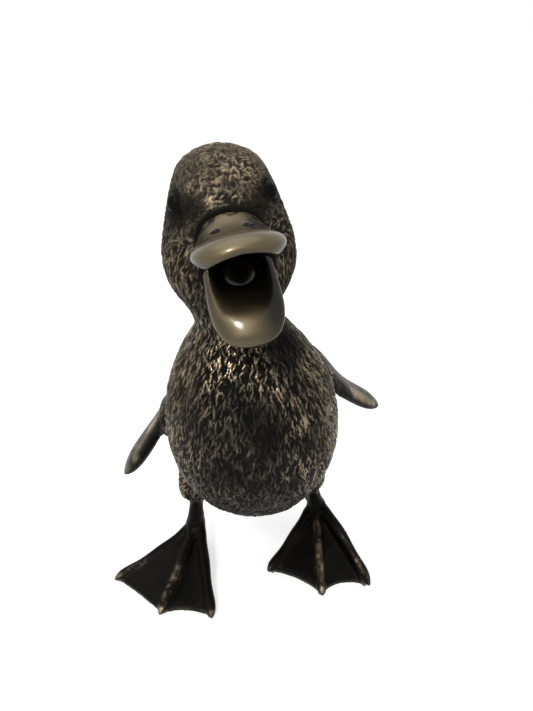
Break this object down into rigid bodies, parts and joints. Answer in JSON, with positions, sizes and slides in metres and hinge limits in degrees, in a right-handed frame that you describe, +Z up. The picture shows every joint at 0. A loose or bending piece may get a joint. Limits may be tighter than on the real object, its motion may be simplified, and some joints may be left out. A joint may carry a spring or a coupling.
{
  "type": "duckling figurine",
  "caption": "Standing duckling ornament in dark patinated cast brass, with a wide open bill, stub wings held out and broad webbed feet that it stands on.",
  "frame": {"origin": "centre of the overall box, on the plane of the soles", "axes": "+Z up, the duck looks along -Y, +X is its own left"},
  "size_m": [0.0904, 0.0868, 0.1338],
  "materials": {
    "patinated_brass": "dark brown patina, rubbed to gold on the feather strokes",
    "dark_brass": "near-black patina, glossy",
    "polished_brass": "softly polished",
    "black_glass": "polished black"
  },
  "bodies": {
    "root": {"body_shell": "patinated_brass", "head_shell": "patinated_brass", "left_wing": "patinated_brass", "right_wing": "patinated_brass", "left_leg": "dark_brass", "right_leg": "dark_brass", "left_foot": "dark_brass", "right_foot": "dark_brass", "upper_bill": "polished_brass", "lower_bill": "polished_brass", "tongue": "polished_brass", "left_eye": "black_glass", "right_eye": "black_glass", "neck_pins": "patinated_brass", "core_plugs": "patinated_brass"}
  },
  "joints": []
}
